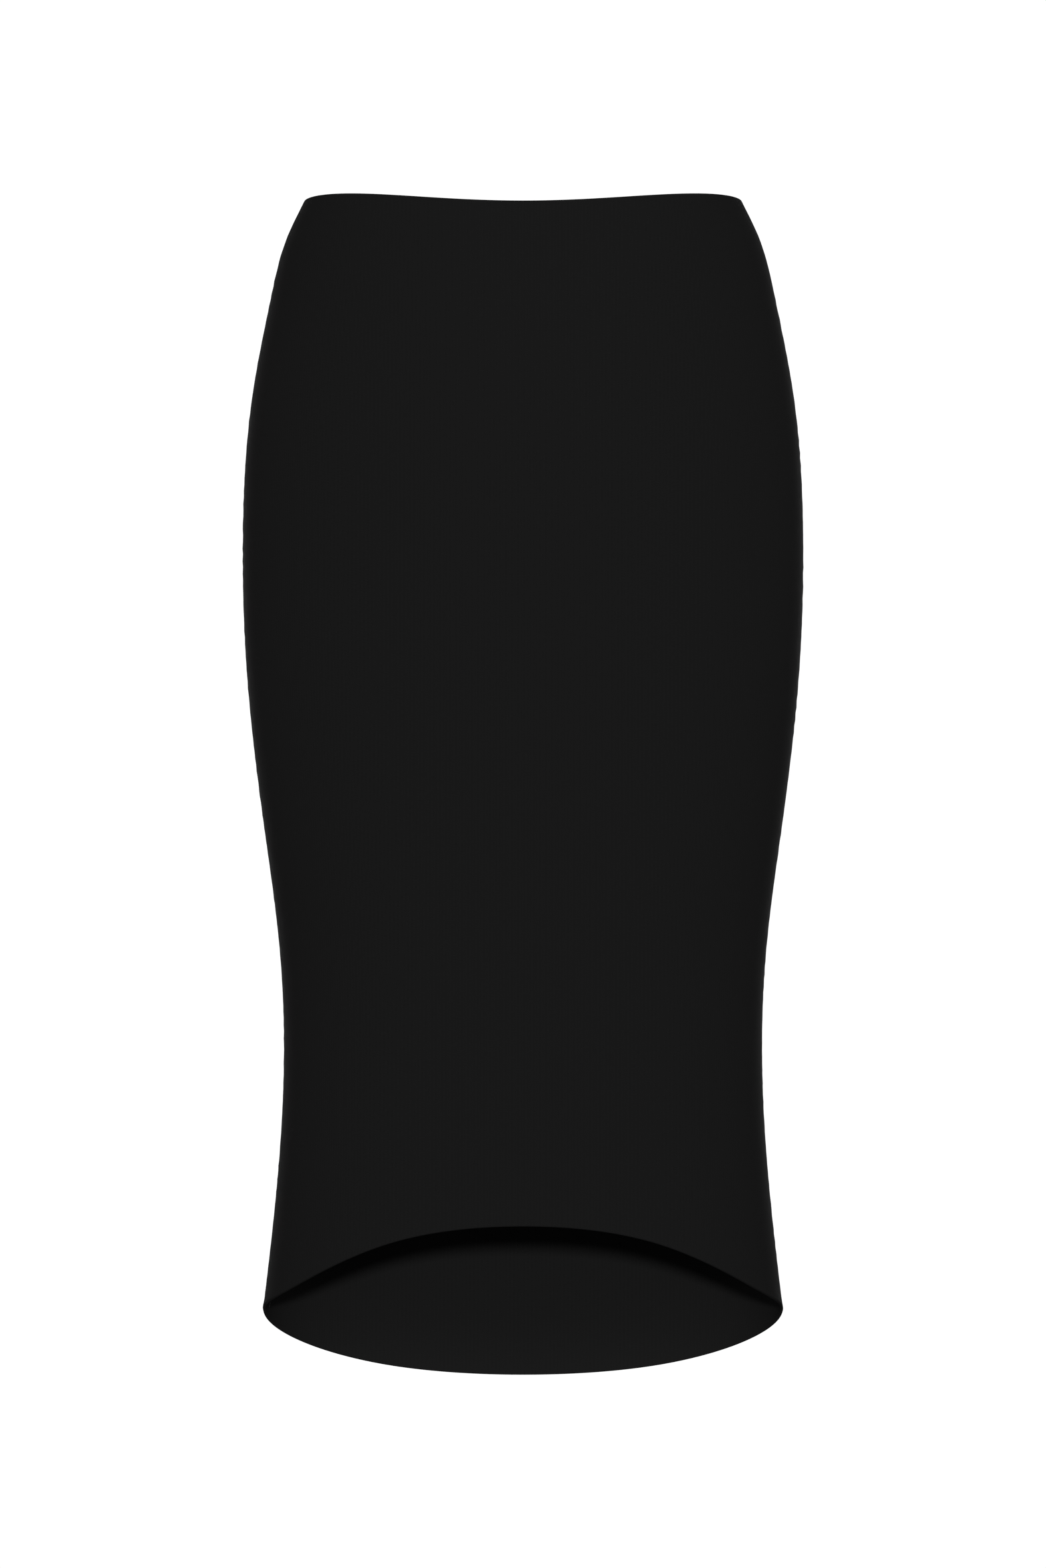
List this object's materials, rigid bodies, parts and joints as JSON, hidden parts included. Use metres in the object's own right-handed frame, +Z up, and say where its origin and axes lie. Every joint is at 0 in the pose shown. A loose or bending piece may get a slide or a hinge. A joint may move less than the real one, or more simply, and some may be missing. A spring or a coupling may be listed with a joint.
{
  "type": "pencil skirt",
  "caption": "Hollow pencil skirt in plain black stretch knit, filled out as worn, with curved hips, a narrow knee and a front hem arched up over a longer back.",
  "frame": {"origin": "centre of the waist ring, level with the waist edge at the side seams, where the wearer holds the skirt up", "axes": "+Z up the wearer, +X across the wearer, -Y out of the front panel"},
  "size_m": [0.3526, 0.24, 0.7496],
  "materials": {
    "black_knit": "matt fine-gauge double knit"
  },
  "bodies": {
    "root": {"front_panel": "black_knit", "back_panel": "black_knit"}
  },
  "joints": []
}
